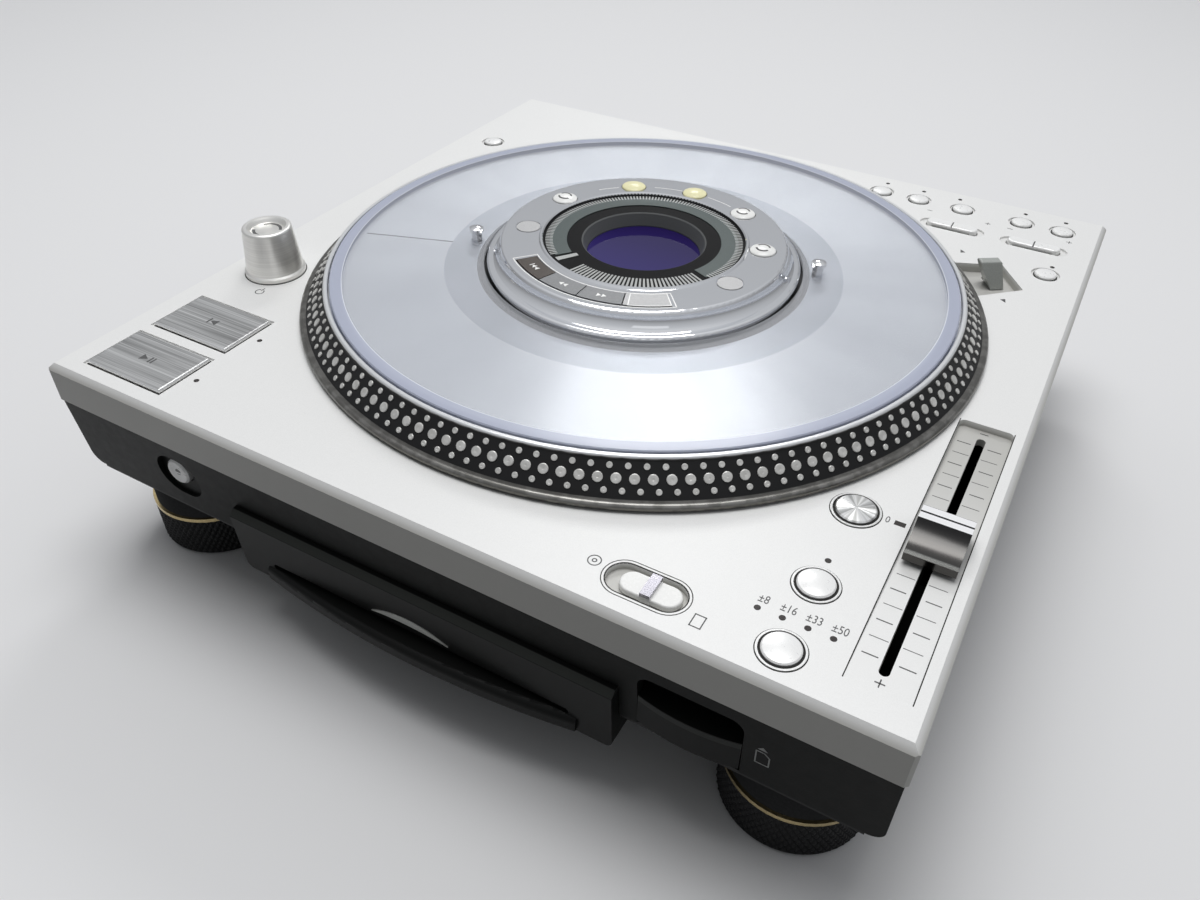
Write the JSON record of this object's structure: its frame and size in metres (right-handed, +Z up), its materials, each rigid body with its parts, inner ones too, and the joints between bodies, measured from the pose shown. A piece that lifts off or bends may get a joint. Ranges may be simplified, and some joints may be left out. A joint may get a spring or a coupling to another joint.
{
  "type": "dj cd player",
  "caption": "Slot loading table-top disc player with a motor driven platter, a clear control disc round a fixed key hub, a long pitch fader and round and square keys.",
  "frame": {"origin": "on the table, under the middle of the bounding box", "axes": "+X to the right of the person playing, +Y to the back, +Z up; the front with the disc slot faces -Y"},
  "size_m": [0.32, 0.3376, 0.1123],
  "materials": {
    "panel_metal": "fine satin, silver white",
    "case_dark": "fine textured, near black",
    "sheet_steel": "plain plated sheet",
    "screw_steel": "zinc plated",
    "rubber": "matt, knurled",
    "brass": "polished ring",
    "loader_plastic": "glossy dark grey",
    "chrome": "polished",
    "key_metal": "brushed, bright bevel",
    "key_silver": "silver lacquer",
    "key_dark": "dark grey",
    "key_white": "white, lit from below",
    "key_yellow": "warm yellow, lit from below",
    "key_brown": "dark brown",
    "key_grey": "mid grey",
    "platter_metal": "turned, bright",
    "felt": "thin pale felt",
    "clear_plastic": "clear acrylic",
    "bezel_black": "gloss black",
    "display_glass": "tinted window",
    "magnet": "sintered ring",
    "winding": "lacquered copper on steel",
    "board": "green circuit board",
    "gear_plastic": "white acetal"
  },
  "bodies": {
    "chassis": {"top_panel": "panel_metal", "lower_case": "case_dark", "bottom_cover": "sheet_steel", "cover_screws": "screw_steel", "foot_pads": "rubber", "foot_rings": "brass", "loader_housing": "loader_plastic", "slot_trim": "chrome", "card_socket": "loader_plastic", "button_rings": "chrome", "motor_pan": "sheet_steel", "bearing_post": "screw_steel", "motor_stator": "winding", "hub_base": "case_dark", "hub_shell": "chrome", "display_bezel": "bezel_black", "display_glass": "display_glass", "loader_chassis": "sheet_steel", "loader_motor": "screw_steel", "circuit_boards": "board", "rear_jack_set": "brass", "mains_inlet": "case_dark"},
    "platter_group": {"platter": "platter_metal", "rotor_magnet": "magnet", "slipmat": "felt", "clear_disc": "clear_plastic", "locating_pins": "screw_steel"},
    "play_button": {"play_button": "key_metal"},
    "cue_button": {"cue_button": "key_metal"},
    "reset_button": {"reset_button": "key_metal"},
    "lock_button": {"lock_button": "key_silver"},
    "range_button": {"range_button": "key_silver"},
    "memory_button_1": {"memory_button_1": "key_dark"},
    "memory_button_2": {"memory_button_2": "key_dark"},
    "memory_button_3": {"memory_button_3": "key_dark"},
    "memory_button_4": {"memory_button_4": "key_dark"},
    "memory_button_5": {"memory_button_5": "key_dark"},
    "mode_button": {"mode_button": "key_dark"},
    "auxiliary_button": {"auxiliary_button": "key_dark"},
    "hub_button_1": {"hub_button_1": "key_white"},
    "hub_button_2": {"hub_button_2": "key_yellow"},
    "hub_button_3": {"hub_button_3": "key_yellow"},
    "hub_button_4": {"hub_button_4": "key_white"},
    "hub_button_5": {"hub_button_5": "key_white"},
    "sector_button_1": {"sector_button_1": "key_brown"},
    "sector_button_2": {"sector_button_2": "key_grey"},
    "sector_button_3": {"sector_button_3": "key_grey"},
    "sector_button_4": {"sector_button_4": "key_white"},
    "eject_button": {"eject_button": "key_silver"},
    "search_rocker": {"search_rocker": "key_silver"},
    "track_rocker": {"track_rocker": "key_silver"},
    "pitch_fader": {"pitch_fader": "chrome"},
    "selector_slider": {"selector_slider": "key_white"},
    "direction_lever": {"direction_lever": "chrome"},
    "power_knob": {"power_knob": "panel_metal"},
    "feed_roller": {"feed_roller": "rubber"},
    "drive_gear": {"drive_gear": "gear_plastic"},
    "disc_turntable": {"disc_turntable": "gear_plastic"},
    "pickup_sled": {"pickup_sled": "case_dark"},
    "clamp_arm": {"clamp_arm": "sheet_steel"}
  },
  "joints": [
    {"name": "platter_spin", "type": "hinge", "parent": "chassis", "child": "platter_group", "pos_m": [0, -0.001, 0.088], "axis": [0, 0, 1], "continuous": true},
    {"name": "play_press", "type": "slide", "parent": "chassis", "child": "play_button", "axis": [0, 0, -1], "range_m": [0, 0.001], "stiffness_N_per_m": 250, "springref_m": -0.002},
    {"name": "cue_press", "type": "slide", "parent": "chassis", "child": "cue_button", "axis": [0, 0, -1], "range_m": [0, 0.001], "stiffness_N_per_m": 250, "springref_m": -0.002},
    {"name": "reset_press", "type": "slide", "parent": "chassis", "child": "reset_button", "axis": [0, 0, -1], "range_m": [0, 0.001], "stiffness_N_per_m": 250, "springref_m": -0.002},
    {"name": "lock_press", "type": "slide", "parent": "chassis", "child": "lock_button", "axis": [0, 0, -1], "range_m": [0, 0.001], "stiffness_N_per_m": 250, "springref_m": -0.002},
    {"name": "range_press", "type": "slide", "parent": "chassis", "child": "range_button", "axis": [0, 0, -1], "range_m": [0, 0.001], "stiffness_N_per_m": 250, "springref_m": -0.002},
    {"name": "memory_press_1", "type": "slide", "parent": "chassis", "child": "memory_button_1", "axis": [0, 0, -1], "range_m": [0, 0.001], "stiffness_N_per_m": 250, "springref_m": -0.002},
    {"name": "memory_press_2", "type": "slide", "parent": "chassis", "child": "memory_button_2", "axis": [0, 0, -1], "range_m": [0, 0.001], "stiffness_N_per_m": 250, "springref_m": -0.002},
    {"name": "memory_press_3", "type": "slide", "parent": "chassis", "child": "memory_button_3", "axis": [0, 0, -1], "range_m": [0, 0.001], "stiffness_N_per_m": 250, "springref_m": -0.002},
    {"name": "memory_press_4", "type": "slide", "parent": "chassis", "child": "memory_button_4", "axis": [0, 0, -1], "range_m": [0, 0.001], "stiffness_N_per_m": 250, "springref_m": -0.002},
    {"name": "memory_press_5", "type": "slide", "parent": "chassis", "child": "memory_button_5", "axis": [0, 0, -1], "range_m": [0, 0.001], "stiffness_N_per_m": 250, "springref_m": -0.002},
    {"name": "mode_press", "type": "slide", "parent": "chassis", "child": "mode_button", "axis": [0, 0, -1], "range_m": [0, 0.001], "stiffness_N_per_m": 250, "springref_m": -0.002},
    {"name": "auxiliary_press", "type": "slide", "parent": "chassis", "child": "auxiliary_button", "axis": [0, 0, -1], "range_m": [0, 0.001], "stiffness_N_per_m": 250, "springref_m": -0.002},
    {"name": "hub_press_1", "type": "slide", "parent": "chassis", "child": "hub_button_1", "axis": [0, 0, -1], "range_m": [0, 0.001], "stiffness_N_per_m": 250, "springref_m": -0.002},
    {"name": "hub_press_2", "type": "slide", "parent": "chassis", "child": "hub_button_2", "axis": [0, 0, -1], "range_m": [0, 0.001], "stiffness_N_per_m": 250, "springref_m": -0.002},
    {"name": "hub_press_3", "type": "slide", "parent": "chassis", "child": "hub_button_3", "axis": [0, 0, -1], "range_m": [0, 0.001], "stiffness_N_per_m": 250, "springref_m": -0.002},
    {"name": "hub_press_4", "type": "slide", "parent": "chassis", "child": "hub_button_4", "axis": [0, 0, -1], "range_m": [0, 0.001], "stiffness_N_per_m": 250, "springref_m": -0.002},
    {"name": "hub_press_5", "type": "slide", "parent": "chassis", "child": "hub_button_5", "axis": [0, 0, -1], "range_m": [0, 0.001], "stiffness_N_per_m": 250, "springref_m": -0.002},
    {"name": "sector_press_1", "type": "slide", "parent": "chassis", "child": "sector_button_1", "axis": [0, 0, -1], "range_m": [0, 0.001], "stiffness_N_per_m": 250, "springref_m": -0.002},
    {"name": "sector_press_2", "type": "slide", "parent": "chassis", "child": "sector_button_2", "axis": [0, 0, -1], "range_m": [0, 0.001], "stiffness_N_per_m": 250, "springref_m": -0.002},
    {"name": "sector_press_3", "type": "slide", "parent": "chassis", "child": "sector_button_3", "axis": [0, 0, -1], "range_m": [0, 0.001], "stiffness_N_per_m": 250, "springref_m": -0.002},
    {"name": "sector_press_4", "type": "slide", "parent": "chassis", "child": "sector_button_4", "axis": [0, 0, -1], "range_m": [0, 0.001], "stiffness_N_per_m": 250, "springref_m": -0.002},
    {"name": "eject_press", "type": "slide", "parent": "chassis", "child": "eject_button", "axis": [0, 1, 0], "range_m": [0, 0.0012], "stiffness_N_per_m": 250, "springref_m": -0.002},
    {"name": "search_tip", "type": "hinge", "parent": "chassis", "child": "search_rocker", "pos_m": [0.0974, 0.1218, 0.0841], "axis": [0, 1, 0], "range_deg": [-2.5, 2.5], "stiffness_Nm_per_rad": 0.03},
    {"name": "track_tip", "type": "hinge", "parent": "chassis", "child": "track_rocker", "pos_m": [0.1336, 0.1218, 0.0841], "axis": [0, 1, 0], "range_deg": [-2.5, 2.5], "stiffness_Nm_per_rad": 0.03},
    {"name": "pitch_slide", "type": "slide", "parent": "chassis", "child": "pitch_fader", "axis": [0, 1, 0], "range_m": [-0.0455, 0.0545]},
    {"name": "selector_slide", "type": "slide", "parent": "chassis", "child": "selector_slider", "axis": [1, 0, 0], "range_m": [-0.0036, 0]},
    {"name": "lever_slide", "type": "slide", "parent": "chassis", "child": "direction_lever", "axis": [-0.5592, 0.829, 0], "range_m": [-0.003, 0.003]},
    {"name": "knob_turn", "type": "hinge", "parent": "chassis", "child": "power_knob", "pos_m": [-0.1383, -0.0681, 0.088], "axis": [0, 0, 1], "range_deg": [0, 60]},
    {"name": "roller_spin", "type": "hinge", "parent": "chassis", "child": "feed_roller", "pos_m": [0.0716, -0.15, 0.0323], "axis": [1, 0, 0], "continuous": true},
    {"name": "drive_gear_spin", "type": "hinge", "parent": "chassis", "child": "drive_gear", "pos_m": [0.0716, -0.14045, 0.0369], "axis": [1, 0, 0], "continuous": true},
    {"name": "turntable_spin", "type": "hinge", "parent": "chassis", "child": "disc_turntable", "pos_m": [0, -0.086, 0.034], "axis": [0, 0, 1], "continuous": true},
    {"name": "sled_slide", "type": "slide", "parent": "chassis", "child": "pickup_sled", "axis": [0, 1, 0], "range_m": [0, 0.034]},
    {"name": "clamp_lower", "type": "hinge", "parent": "chassis", "child": "clamp_arm", "pos_m": [0, -0.014, 0.041], "axis": [1, 0, 0], "range_deg": [0, 1.9], "stiffness_Nm_per_rad": 0.5, "springref_deg": -5.73}
  ],
  "couplings": [
    {"joint": "roller_spin", "follows": "drive_gear_spin", "ratio": -2.5}
  ]
}
